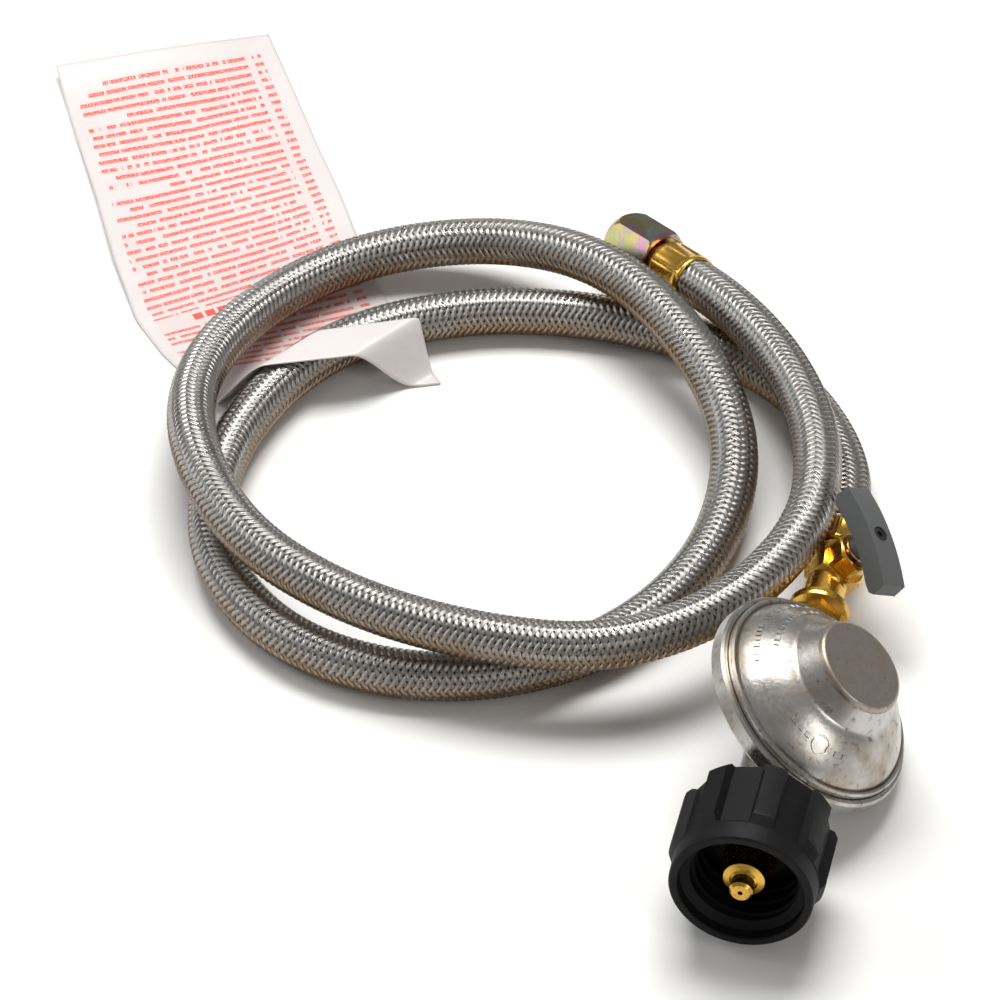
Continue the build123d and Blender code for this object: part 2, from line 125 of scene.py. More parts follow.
# ---------------------------------------------------------------- settings
class HoseSizes(bpy.types.PropertyGroup):
    """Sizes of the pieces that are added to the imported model."""

    diameter: FloatProperty(
        name="Hose diameter", description="Across the braid", default=0.016, unit="LENGTH"
    )
    carriers: IntProperty(
        name="Bands each way", description="Bands of wire wound each way", default=12, min=4
    )
    braid_angle: FloatProperty(
        name="Braid angle",
        description="Angle of a band to the hose's axis",
        default=math.radians(61),
        subtype="ANGLE",
    )
    flats: IntProperty(name="Ferrule flats", description="Flats crimped round a ferrule", default=8, min=4)
    print_pitch: FloatProperty(
        name="Print pitch", description="From one row of print to the next", default=0.0036, unit="LENGTH"
    )


def colour_setting(name, description, default):
    """A colour that can be picked."""
    return FloatVectorProperty(
        name=name, description=description, default=default, subtype="COLOR", size=3, min=0, max=1
    )


class HoseColours(bpy.types.PropertyGroup):
    """Colours of the finishes."""

    braid: colour_setting("Braid", "Stainless wire", (0.50, 0.49, 0.475))
    # painted reflection: a brown tint on the braid's underside stands in for brown surroundings reflected there
    # and for shade
    painted_underside_reflection: colour_setting("Tarnish", "Stain on the braid's underside", (0.27, 0.16, 0.07))
    cast: colour_setting("Casting", "Die-cast alloy", (0.55, 0.54, 0.52))
    cap: colour_setting("Cap", "Satin cap on the tower", (0.42, 0.37, 0.33))
    brass: colour_setting("Brass", "Machined brass", (0.80, 0.48, 0.09))
    plate: colour_setting("Nut plating", "Yellow zinc plating", (0.40, 0.35, 0.14))
    plastic: colour_setting("Black plastic", "Coupling nut", (0.004, 0.004, 0.0045))
    handle: colour_setting("Handle", "Grey moulded handle", (0.09, 0.094, 0.096))
    paper: colour_setting("Tag", "Tag sheet", (0.74, 0.69, 0.68))
    ink: colour_setting("Ink", "Rows of print", (0.78, 0.09, 0.06))


class StageLook(bpy.types.PropertyGroup):
    """Floor, light and camera."""

    floor: colour_setting("Floor", "Plain pale floor", (0.90, 0.90, 0.895))
    key: FloatProperty(
        name="Key light", description="Power of the soft light above", default=27.0, unit="POWER"
    )
    fill: FloatProperty(name="Fill light", description="Power of the side light", default=5.0, unit="POWER")
    lens: FloatProperty(name="Lens", description="Focal length in millimetres", default=197.6, min=10)


# ---------------------------------------------------------------- node helpers
def add_node(tree, kind, inputs=None, **settings):
    """A shader node with its settings and its inputs, each a value or another node's output."""
    made = tree.nodes.new(kind)
    for key, value in settings.items():
        setattr(made, key, value)
    for key, value in (inputs or {}).items():
        if isinstance(value, bpy.types.NodeSocket):
            tree.links.new(value, made.inputs[key])
        else:
            made.inputs[key].default_value = value
    return made


def math_node(tree, operation, *values):
    """The output of one Math node."""
    return add_node(tree, "ShaderNodeMath", dict(enumerate(values)), operation=operation).outputs[0]


def product(tree, *values):
    """Several values multiplied together."""
    total = values[0]
    for value in values[1:]:
        total = math_node(tree, "MULTIPLY", total, value)
    return total


def in_band(tree, value, low, high):
    """1 where a value is between two others, and 0 elsewhere."""
    above = math_node(tree, "GREATER_THAN", value, low)
    return product(tree, above, math_node(tree, "LESS_THAN", value, high))


def distance_from(tree, value, centre):
    """How far a value is from a centre."""
    return math_node(tree, "ABSOLUTE", math_node(tree, "SUBTRACT", value, centre))


def ramp(tree, value, low, high, low_out=0.0, high_out=1.0):
    """A value's range between low and high, spread between two others."""
    inputs = {"Value": value, "From Min": low, "From Max": high, "To Min": low_out, "To Max": high_out}
    return add_node(tree, "ShaderNodeMapRange", inputs, clamp=True).outputs["Result"]


def mix_colour(tree, factor, first, second):
    """Two colours mixed, each a triple or an output."""
    made = add_node(tree, "ShaderNodeMix", data_type="RGBA")
    for socket, value in zip((made.inputs[0], made.inputs[6], made.inputs[7]), (factor, first, second)):
        if isinstance(value, bpy.types.NodeSocket):
            tree.links.new(value, socket)
        else:
            socket.default_value = value if isinstance(value, float) else (*value, 1)
    return made.outputs[2]


def noise(tree, place, scale, detail=3.0, roughness=0.5, distortion=0.0):
    """A noise pattern's value."""
    inputs = {
        "Vector": place,
        "Scale": scale,
        "Detail": detail,
        "Roughness": roughness,
        "Distortion": distortion,
    }
    return add_node(tree, "ShaderNodeTexNoise", inputs).outputs["Fac"]


def bump(tree, height, strength, distance, normal=None):
    """A bump's normal."""
    inputs = {"Height": height, "Strength": strength, "Distance": distance}
    if normal is not None:
        inputs["Normal"] = normal
    return add_node(tree, "ShaderNodeBump", inputs).outputs["Normal"]


def new_material(name, metallic=0.0, **sockets):
    """A material, its tree, its shader and its object coordinates."""
    made = bpy.data.materials.new(name)
    made.use_nodes = True
    tree = made.node_tree
    shader = tree.nodes["Principled BSDF"]
    shader.inputs["Metallic"].default_value = metallic
    for key, value in sockets.items():
        shader.inputs[key.replace("_", " ")].default_value = value
    place = add_node(tree, "ShaderNodeTexCoord").outputs["Object"]
    return made, tree, shader, place


def set_shader(tree, shader, **outputs):
    """Links outputs to the shader's inputs."""
    for key, value in outputs.items():
        tree.links.new(value, shader.inputs[key.replace("_", " ")])


def metal(name, colour, worn, rough, grain_scale, grain, blotch_scale=90.0, **sockets):
    """A metal whose colour, roughness and fine grain vary over it."""
    made, tree, shader, place = new_material(name, 1.0, **sockets)
    blotch = noise(tree, place, blotch_scale, 4.0, 0.6)
    speck = noise(tree, place, grain_scale * 0.6, 2.0)
    base = mix_colour(tree, ramp(tree, blotch, 0.45, 0.72), colour, worn)
    base = mix_colour(tree, ramp(tree, speck, 0.60, 0.74, 0.0, 0.75), base, [c * 0.5 for c in worn])
    shine = math_node(
        tree, "ADD", ramp(tree, blotch, 0.3, 0.7, rough[0], rough[1]), ramp(tree, speck, 0.5, 0.8, 0.0, 0.12)
    )
    height = noise(tree, place, grain_scale, 3.0)
    set_shader(tree, shader, Base_Color=base, Roughness=shine, Normal=bump(tree, height, grain, 0.0002))
    return made


def moulded(name, colour, rough, grain_scale, grain, dust=0.25, **sockets):
    """A moulded plastic with fine grain and a little dust."""
    made, tree, shader, place = new_material(name, 0.0, **sockets)
    specks = noise(tree, place, 420.0, 5.0, 0.7)
    smear = noise(tree, place, 60.0, 4.0, 0.6)
    dusty = [0.5 * c + 0.12 for c in colour]
    base = mix_colour(tree, ramp(tree, specks, 0.62, 0.82, 0.0, dust), colour, dusty)
    smooth = ramp(tree, smear, 0.3, 0.7, rough[0], rough[1])
    shine = math_node(tree, "ADD", smooth, ramp(tree, specks, 0.5, 0.8, 0, 0.1))
    height = noise(tree, place, grain_scale, 3.0)
    set_shader(tree, shader, Base_Color=base, Roughness=shine, Normal=bump(tree, height, grain, 0.0002))
    return made


# ---------------------------------------------------------------- mesh helpers
def mesh_piece(name, points, faces, uvs=None, smooth=True, materials=(), face_slots=None):
    """A mesh object from arrays of points and four-sided faces."""
    mesh = bpy.data.meshes.new(name)
    mesh.from_pydata([tuple(p) for p in points], [], [tuple(int(i) for i in f) for f in faces])
    for material in materials:
        mesh.materials.append(material)
    if face_slots is not None:
        mesh.polygons.foreach_set("material_index", face_slots)
    if uvs is not None:
        layer = mesh.uv_layers.new(name="UVMap")
        corner = np.zeros(len(mesh.loops), np.int32)
        mesh.loops.foreach_get("vertex_index", corner)
        layer.data.foreach_set("uv", np.asarray(uvs, np.float32)[corner].ravel())
    mesh.polygons.foreach_set("use_smooth", [smooth] * len(mesh.polygons))
    mesh.update()
    made = bpy.data.objects.new(name, mesh)
    bpy.context.scene.collection.objects.link(made)
    return made


def grid_faces(rows, columns, wrap=False, first=0):
    """Four-sided faces between rows of points, closed round each row where wrap is true."""
    row, column = np.meshgrid(np.arange(rows - 1), np.arange(columns if wrap else columns - 1), indexing="ij")
    beside = (column + 1) % columns
    near, far = row * columns, (row + 1) * columns
    corners = (near + column, near + beside, far + beside, far + column)
    return np.stack(corners, -1).reshape(-1, 4) + first


def side_axes(axis):
    """Two unit directions square to an axis and to each other."""
    across = axis.orthogonal().normalized()
    return across, axis.cross(across).normalized()


def turned_piece(name, origin, axis, rings, shape, count, materials):
    """A turned shell: each ring is (distance, radius, crimp), and shape is the crimp's share by angle."""
    across, up = side_axes(axis)
    points = []
    for distance, radius, crimp in rings:
        for step in range(count):
            angle = math.tau * step / count
            reach = radius - crimp * shape(angle)
            out = across * math.cos(angle) + up * math.sin(angle)
            points.append(origin + axis * distance + out * reach)
    return mesh_piece(name, points, grid_faces(len(rings), count, wrap=True), materials=materials)


def helix_ridge(name, origin, axis, radius, depth, width, pitch, length, material):
    """The ridge of a screw thread inside a bore: it stands in from radius by depth."""
    steps_per_turn = 72
    steps = int(length / pitch * steps_per_turn)
    across, up = side_axes(axis)
    section = ((-width / 2, 0.0002), (-width / 4, -depth), (width / 4, -depth), (width / 2, 0.0002))
    points = []
    for step in range(steps + 1):
        angle = math.tau * step / steps_per_turn
        fade = min(1.0, step / 18, (steps - step) / 18)
        out = across * math.cos(angle) + up * math.sin(angle)
        for along, reach in section:
            along += pitch * step / steps_per_turn
            points.append(origin + axis * along + out * (radius + max(reach, 0) + min(reach, 0) * fade))
    return mesh_piece(name, points, grid_faces(steps + 1, len(section)), smooth=False, materials=[material])


# ---------------------------------------------------------------- stage
def aim(thing, target):
    """Turns an object's -Z towards a point."""
    thing.rotation_euler = (Vector(target) - thing.location).to_track_quat("-Z", "Y").to_euler()


def area_light(name, place, target, size, power, colour):
    """A soft rectangular light."""
    data = bpy.data.lights.new(name, "AREA")
    data.shape = "RECTANGLE"
    data.size, data.size_y = size
    data.energy = power
    data.color = colour
    lamp = bpy.data.objects.new(name, data)
    bpy.context.scene.collection.objects.link(lamp)
    lamp.location = place
    aim(lamp, target)
    return lamp


class HOSE_OT_stage(bpy.types.Operator):
    """Makes the floor, the lights and the camera."""

    bl_idname = "hose.stage"
    bl_label = "Stage"

    def execute(self, context):
        look = context.scene.stage_look
        made, tree, shader, place = new_material("floor_paint", 0.0, Roughness=0.6)
        tone = mix_colour(tree, noise(tree, place, 3.0, 2.0), look.floor, [c * 1.02 for c in look.floor])
        set_shader(tree, shader, Base_Color=tone)
        reach, drop = 6.0, -0.0004
        corners = [(x * reach, y * reach, drop) for x, y in ((-1, -1), (1, -1), (1, 1), (-1, 1))]
        floor = mesh_piece("floor", corners, [(0, 1, 2, 3)], materials=[made])

        centre = Vector((-0.12, 0.09, 0.0))
        area_light("key_light", (-0.25, 0.65, 1.5), centre, (1.1, 0.7), look.key, (1.0, 0.99, 0.97))
        area_light("fill_light", (1.3, -0.7, 0.9), centre, (0.6, 1.0), look.fill, (1.0, 0.96, 0.9))
        area_light("rim_light", (-1.4, 0.1, 0.7), centre, (0.5, 1.0), look.fill, (0.95, 0.98, 1.0))
        world = bpy.data.worlds.new("studio")
        world.use_nodes = True
        world.node_tree.nodes["Background"].inputs["Color"].default_value = (0.80, 0.79, 0.78, 1)
        world.node_tree.nodes["Background"].inputs["Strength"].default_value = 0.32
        context.scene.world = world
        context.scene.view_settings.view_transform = "Standard"

        data = bpy.data.cameras.new("camera")
        data.lens = look.lens
        data.sensor_width = 36.0
        camera = bpy.data.objects.new("camera", data)
        context.scene.collection.objects.link(camera)
        target = Vector((MOUTH.x - 0.1134, MOUTH.y + 0.1718, 0.0))
        camera.location = target + Vector((0.2852, -1.2404, 1.2728))
        aim(camera, target)
        context.scene.camera = camera
        return {"FINISHED"}


# ---------------------------------------------------------------- hose
def braid_material(colours):
    """Bands of fine bright wires, with a painted brown reflection and painted shade on their underside."""
    made, tree, shader, place = new_material("braid_wire", 1.0)
    uv = add_node(tree, "ShaderNodeUVMap", uv_map="UVMap").outputs["UV"]
    across = add_node(tree, "ShaderNodeSeparateXYZ", {"Vector": uv})
    wires = math_node(tree, "SINE", math_node(tree, "MULTIPLY", across.outputs["X"], math.tau * 6))
    # painted shade: the grooves between the fine wires are darkened in the base colour
    painted_groove_shade = ramp(tree, wires, -1.0, -0.2, 0.45, 0.0)
    normal = add_node(tree, "ShaderNodeNewGeometry").outputs["Normal"]
    facing = add_node(tree, "ShaderNodeSeparateXYZ", {"Vector": normal})
    # painted reflection and shade: faces turned down are tinted brown, more or less strongly by noise
    painted_underside_share = ramp(tree, facing.outputs["Z"], 0.60, -0.10)
    painted_reflection_mask = product(tree, painted_underside_share, ramp(tree, noise(tree, place, 45.0, 3.0), 0.25, 0.55, 0.55, 1.0))
    patchy = noise(tree, place, 160.0, 4.0, 0.65)
    darker = [0.62 * c for c in colours.braid]
    base = mix_colour(tree, ramp(tree, patchy, 0.5, 0.75, 0.0, 0.45), colours.braid, darker)
    base = mix_colour(tree, painted_reflection_mask, base, colours.painted_underside_reflection)
    base = mix_colour(tree, painted_groove_shade, base, (0.10, 0.08, 0.06))
    set_shader(
        tree,
        shader,
        Base_Color=base,
        Roughness=ramp(tree, patchy, 0.3, 0.7, 0.22, 0.38),
        Normal=bump(tree, wires, 0.35, 0.00012),
    )
    return made


def rubber_and_shade_core_material():
    """The dark rubber tube that shows between the bands; its near-black tone also stands in for painted shade
    between them.
    """
    made, tree, shader, place = new_material("hose_core", 0.0)
    tone = mix_colour(tree, noise(tree, place, 300.0), (0.012, 0.010, 0.009), (0.045, 0.034, 0.026))
    shine = ramp(tree, noise(tree, place, 500.0), 0.3, 0.7, 0.5, 0.8)
    set_shader(tree, shader, Base_Color=tone, Roughness=shine)
    return made


def spline_line(points):
    """The points of a smooth spline through its control points, read from its own mesh."""
    curve = bpy.data.curves.new("route", "CURVE")
    curve.dimensions = "3D"
    spline = curve.splines.new("NURBS")
    spline.points.add(len(points) - 1)
    for control, place in zip(spline.points, points):
        control.co = (*place, 1.0)
    spline.order_u = 3
    spline.use_endpoint_u = True
    spline.resolution_u = 24
    holder = bpy.data.objects.new("route", curve)
    bpy.context.scene.collection.objects.link(holder)
    bpy.context.view_layer.update()
    mesh = bpy.data.meshes.new_from_object(holder)
    line = np.array([v.co[:] for v in mesh.vertices])
    bpy.data.objects.remove(holder)
    bpy.data.meshes.remove(mesh)
    return line


def even_frames(line, step):
    """Points an even step apart on a line, two directions across it that don't twist, and the distances."""
    along = np.r_[0, np.cumsum(np.linalg.norm(np.diff(line, axis=0), axis=1))]
    stops = np.linspace(0, along[-1], int(round(along[-1] / step)) + 1)
    points = np.stack([np.interp(stops, along, line[:, k]) for k in range(3)], 1)
    tangents = np.gradient(points, axis=0)
    tangents /= np.linalg.norm(tangents, axis=1)[:, None]
    across = np.zeros_like(points)
    side = np.cross(tangents[0], (0, 0, 1))
    for i, tangent in enumerate(tangents):
        side = side - tangent * (side @ tangent)
        side /= np.linalg.norm(side)
        across[i] = side
    return points, across, np.cross(tangents, across), stops


class HOSE_OT_braided_hose(bpy.types.Operator):
    """Makes the hose: a dark tube inside bands of wire woven both ways."""

    bl_idname = "hose.braided_hose"
    bl_label = "Braided hose"

    def execute(self, context):
        sizes = context.scene.hose_sizes
        radius = sizes.diameter / 2
        start = MOUTH + BACK * HOSE_LEAVES
        controls = [start, start + BACK * FIRST_RUN]
        controls += [Vector((x + MOUTH.x, y + MOUTH.y, z)) for x, y, z in ROUTE] + [HOSE_END]
        line = spline_line(controls)
        # the bands cross each other once in every crossing length
        crossing = math.pi * radius / math.tan(sizes.braid_angle) / sizes.carriers
        points, across, up, stops = even_frames(line, crossing)
        rows = len(points)

        tube_sides, every = 20, 2
        angles = np.arange(tube_sides) * math.tau / tube_sides
        ring = across[::every, None] * np.cos(angles)[None, :, None]
        ring = ring + up[::every, None] * np.sin(angles)[None, :, None]
        vertices = [(points[::every, None] + ring * (radius * 0.90)).reshape(-1, 3)]
        faces = [grid_faces(len(points[::every]), tube_sides, wrap=True)]
        uvs = [np.zeros((len(vertices[0]), 2))]
        slots = [np.zeros(len(faces[0]), np.int32)]
        first = len(vertices[0])

        half_band = 0.41 * math.tau / sizes.carriers  # half a band's width, as an angle round the hose
        section = ((-1.0, -0.105), (-0.70, 0.0), (0.70, 0.0), (1.0, -0.105))
        lift = 0.034
        turn = stops * math.tan(sizes.braid_angle) / radius
        for way in (1, -1):
            for band in range(sizes.carriers):
                angle = way * turn + band * math.tau / sizes.carriers
                # each band goes over two and under two, and the steps line up along the hose
                count = angle * sizes.carriers / math.pi
                weave = np.clip(1.35 * np.cos((count - 0.5) * math.pi / 2), -1, 1)
                height = radius * (1 - lift + way * lift * weave)
                band_points = np.zeros((rows, len(section), 3))
                for k, (offset, drop) in enumerate(section):
                    spread = angle + offset * half_band
                    out = across * np.cos(spread)[:, None] + up * np.sin(spread)[:, None]
                    band_points[:, k] = points + out * (height + drop * radius)[:, None]
                vertices.append(band_points.reshape(-1, 3))
                made_faces = grid_faces(rows, len(section), first=first)
                faces.append(made_faces)
                share = np.array([0.5 + offset / 2 for offset, _ in section])
                uv = np.stack(np.broadcast_arrays(share[None, :], (stops * 100)[:, None]), -1)
                uvs.append(uv.reshape(-1, 2))
                slots.append(np.ones(len(made_faces), np.int32))
                first += rows * len(section)

        colours = context.scene.hose_colours
        hose = mesh_piece(
            "braided_hose",
            np.concatenate(vertices),
            np.concatenate(faces),
            np.concatenate(uvs),
            materials=[rubber_and_shade_core_material(), braid_material(colours)],
            face_slots=np.concatenate(slots),
        )
        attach(hose, "regulator")
        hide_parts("hose")
        return {"FINISHED"}


# ---------------------------------------------------------------- ferrules and threads
def brass_material(colours):
    """Machined brass with darker patches."""
    return metal("machined_brass", colours.brass, (0.50, 0.28, 0.06), (0.16, 0.34), 900.0, 0.12)


def crimp_shape(flats):
    """How far each angle of a ferrule is pressed in: 1 on a flat, 0 on the thin ridge between two."""

    def shape(angle):
        part = (angle * flats / math.tau) % 1.0
        edge = min(part, 1.0 - part) * 2
        return min(1.0, max(0.0, (edge - 0.06) / 0.12)) * (1.0 - 0.25 * math.sin(math.pi * part))

    return shape


class HOSE_OT_ferrules(bpy.types.Operator):
    """Makes the two crimped ferrules."""

    bl_idname = "hose.ferrules"
    bl_label = "Ferrules"

    def execute(self, context):
        sizes = context.scene.hose_sizes
        brass = brass_material(context.scene.hose_colours)
        shape = crimp_shape(sizes.flats)
        far_rings = (
            (0.0002, 0.0079, 0.0),
            (0.0000, 0.0083, 0.0),
            (0.0006, 0.0087, 0.0),
            (0.0020, 0.0088, 0.0),
            (0.0028, 0.0088, 0.0006),
            (0.0038, 0.0088, 0.0009),
            (0.0085, 0.0088, 0.0009),
            (0.0130, 0.0088, 0.0008),
            (0.0142, 0.0087, 0.0004),
            (0.0152, 0.0085, 0.0),
            (0.0166, 0.0079, 0.0),
            (0.0178, 0.0070, 0.0),
            (0.0186, 0.0062, 0.0),
            (0.0189, 0.0057, 0.0),
        )
        far = turned_piece("crimped_ferrule_far", HOSE_END, OUT, far_rings, shape, 160, [brass])
        near_rings = (
            (0.0000, 0.0060, 0.0),
            (0.0000, 0.0080, 0.0),
            (0.0006, 0.0087, 0.0),
            (0.0018, 0.0089, 0.0),
            (0.0026, 0.0089, 0.0006),
            (0.0080, 0.0089, 0.0008),
            (0.0092, 0.0089, 0.0003),
            (0.0100, 0.0089, 0.0),
            (0.0110, 0.0086, 0.0),
            (0.0112, 0.0080, 0.0),
        )
        start = MOUTH + BACK * FERRULE_STARTS
        near = turned_piece("crimped_ferrule_near", start, BACK, near_rings, shape, 160, [brass])
        for piece, node in ((far, "ferrule_far_end"), (near, "ferrule_valve_end")):
            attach(piece, "regulator")
            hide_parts(node)
        return {"FINISHED"}


class HOSE_OT_threads(bpy.types.Operator):
    """Makes the screw threads inside the coupling nut and the flare nut."""

    bl_idname = "hose.threads"
    bl_label = "Threads"

    def execute(self, context):
        colours = context.scene.hose_colours
        plastic = moulded(
            "thread_plastic", colours.plastic, (0.5, 0.6), 1500.0, 0.1, dust=0.0, Specular_IOR_Level=0.1
        )
        coupling = helix_ridge(
            "coupling_thread", MOUTH + BACK * 6.5 * MM, BACK, 0.0167, 0.0008, 0.0022, 0.00508, 0.015, plastic
        )
        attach(coupling, "coupling")
        zinc = metal("thread_zinc", colours.plate, (0.30, 0.27, 0.16), (0.25, 0.4), 900.0, 0.1)
        flare = helix_ridge(
            "flare_nut_thread", HOSE_END + OUT * 28.6 * MM, OUT, 0.0076, 0.0005, 0.0010, 0.00141, 0.0095, zinc
        )
        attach(flare, "far_nut")
        return {"FINISHED"}


# ---------------------------------------------------------------- tag
def tag_material(colours, pitch):
    """A glossy sheet with rows of illegible print and a blank end."""
    made, tree, shader, place = new_material("tag_sheet", 0.0, Coat_Weight=0.25, Coat_Roughness=0.2)
    uv = add_node(tree, "ShaderNodeUVMap", uv_map="UVMap").outputs["UV"]
    parts = add_node(tree, "ShaderNodeSeparateXYZ", {"Vector": uv})
    # the print is read from the tag's hole, so its rows start at the far side
    across, along = math_node(tree, "SUBTRACT", TAG_WIDTH, parts.outputs["X"]), parts.outputs["Y"]
    count = math_node(tree, "DIVIDE", along, pitch)
    row = math_node(tree, "FLOOR", count)
    row_mask = in_band(tree, math_node(tree, "FRACT", count), 0.30, 0.74)
    # words come and go along a row, and finer strokes break them up
    word_place = {"X": product(tree, across, 420.0), "Y": product(tree, row, 7.31)}
    word_place = add_node(tree, "ShaderNodeCombineXYZ", word_place).outputs[0]
    words = ramp(tree, noise(tree, word_place, 1.0, 1.0), 0.38, 0.42)
    stroke_place = {"X": product(tree, across, 2600.0), "Y": product(tree, along, 1400.0)}
    stroke_place = add_node(tree, "ShaderNodeCombineXYZ", stroke_place).outputs[0]
    strokes = ramp(tree, noise(tree, stroke_place, 1.0, 1.0), 0.38, 0.52, 0.25, 1.0)
    # a few rows stop short
    length = add_node(tree, "ShaderNodeTexWhiteNoise", {"W": row}, noise_dimensions="1D").outputs["Value"]
    short = product(tree, math_node(tree, "POWER", length, 9.0), 0.030)
    inside = in_band(tree, across, 0.006, math_node(tree, "SUBTRACT", 0.0735, short))
    block = in_band(tree, along, 0.007, 0.158)
    ink = product(tree, row_mask, words, inside, block, strokes)
    # a clear strip sets off the short marks at the left, and a row of solid blocks heads the print
    strip = distance_from(tree, across, 0.0105)
    beside = distance_from(tree, along, 0.118)
    ink = product(tree, ink, math_node(tree, "GREATER_THAN", strip, 0.0012))
    ink = product(tree, ink, math_node(tree, "GREATER_THAN", beside, 0.0042))
    blocks = math_node(tree, "GREATER_THAN", math_node(tree, "SINE", product(tree, across, 1500.0)), -0.7)
    bar = product(tree, math_node(tree, "LESS_THAN", beside, 0.0019), blocks)
    middle = distance_from(tree, across, TAG_WIDTH / 2)
    bar = product(tree, bar, math_node(tree, "LESS_THAN", middle, 0.023))
    ink = math_node(tree, "MAXIMUM", ink, bar)
    haze = product(tree, inside, block, 0.07)
    duller = [0.94 * c for c in colours.paper]
    paper = mix_colour(tree, ramp(tree, noise(tree, place, 25.0, 3.0), 0.3, 0.7), colours.paper, duller)
    base = mix_colour(tree, haze, paper, colours.ink)
    base = mix_colour(tree, ink, base, colours.ink)
    ripple = noise(tree, place, 55.0, 3.0)
    set_shader(
        tree,
        shader,
        Base_Color=base,
        Roughness=ramp(tree, ripple, 0.3, 0.7, 0.30, 0.45),
        Normal=bump(tree, ripple, 0.25, 0.002),
    )
    return made


class HOSE_OT_tag(bpy.types.Operator):
    """Makes the thin tag whose end strip goes over the hose that passes through its hole."""

    bl_idname = "hose.tag"
    bl_label = "Tag"

    def execute(self, context):
        floor_point = Vector((MOUTH.x, MOUTH.y, 0.0))
        rows, columns = 150, 62
        edges = np.array(TAG_EDGES)
        stations = np.linspace(0, len(edges) - 1, rows)
        lower = np.minimum(stations.astype(int), len(edges) - 2)
        share = (stations - lower)[:, None, None]
        between = edges[lower] * (1 - share) + edges[lower + 1] * share
        for _ in range(4):
            between[1:-1] = (between[:-2] + between[1:-1] * 2 + between[2:]) / 4
        u = np.linspace(0, 1, columns)
        flat = between[:, None, 0] * (1 - u)[None, :, None] + between[:, None, 1] * u[None, :, None]
        v = np.linspace(0, 1, rows)[:, None] * np.ones(columns)[None, :]
        # where the hose goes through: its line on the floor, and the distance of each point from it
        hose_a, hose_b = np.array((-0.1985, 0.187)), np.array((-0.163, 0.238))
        along_hose = (hose_b - hose_a) / np.linalg.norm(hose_b - hose_a)
        beside_hose = np.array((along_hose[1], -along_hose[0]))
        offset = (flat - hose_a) @ beside_hose
        over = np.clip((v - 0.85) / 0.035, 0, 1)
        over = over * over * (3 - 2 * over)
        roof = np.clip(1.66 - np.abs(offset) / 0.0118, 0, 1)
        roof = roof * roof * (3 - 2 * roof)
        height = 0.0004 + over * roof * 0.0172
        bow = np.sin(np.pi * v) * 0.0022 * (2 * u[None, :] - 1) ** 2
        curl = np.clip((0.10 - v) / 0.10, 0, 1) ** 2 * 0.004 * (1 - u[None, :])
        ripple = 0.0008 * np.sin(9 * v + 3 * u[None, :]) * np.sin(np.pi * u)[None, :]
        quiet = np.clip((0.62 - v) / 0.2, 0, 1)
        height += (bow + curl + np.abs(ripple)) * quiet
        points = np.dstack([flat[..., 0] + floor_point.x, flat[..., 1] + floor_point.y, height])
        faces = grid_faces(rows, columns)
        uvs = np.dstack([np.broadcast_to(u * TAG_WIDTH, (rows, columns)), v * TAG_LENGTH]).reshape(-1, 2)
        # the hole: where the sheet would cross the hose
        offset_at = np.abs(offset.reshape(-1)[faces].mean(axis=1))
        over_at = over.reshape(-1)[faces].mean(axis=1)
        through = (offset_at < 0.0098) & (over_at > 0.02) & (over_at < 0.94)
        kept = faces[~through]
        tag = mesh_piece(
            "tag_sheet",
            points.reshape(-1, 3),
            kept,
            uvs,
            materials=[tag_material(context.scene.hose_colours, context.scene.hose_sizes.print_pitch)],
        )
        shell = bmesh.new()
        shell.from_mesh(tag.data)
        bmesh.ops.delete(shell, geom=[p for p in shell.verts if not p.link_faces], context="VERTS")
        shell.to_mesh(tag.data)
        shell.free()
        thick = tag.modifiers.new("thickness", "SOLIDIFY")
        thick.thickness = 0.0003
        thick.offset = 1.0
        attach(tag, "regulator")
        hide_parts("tag")
        return {"FINISHED"}


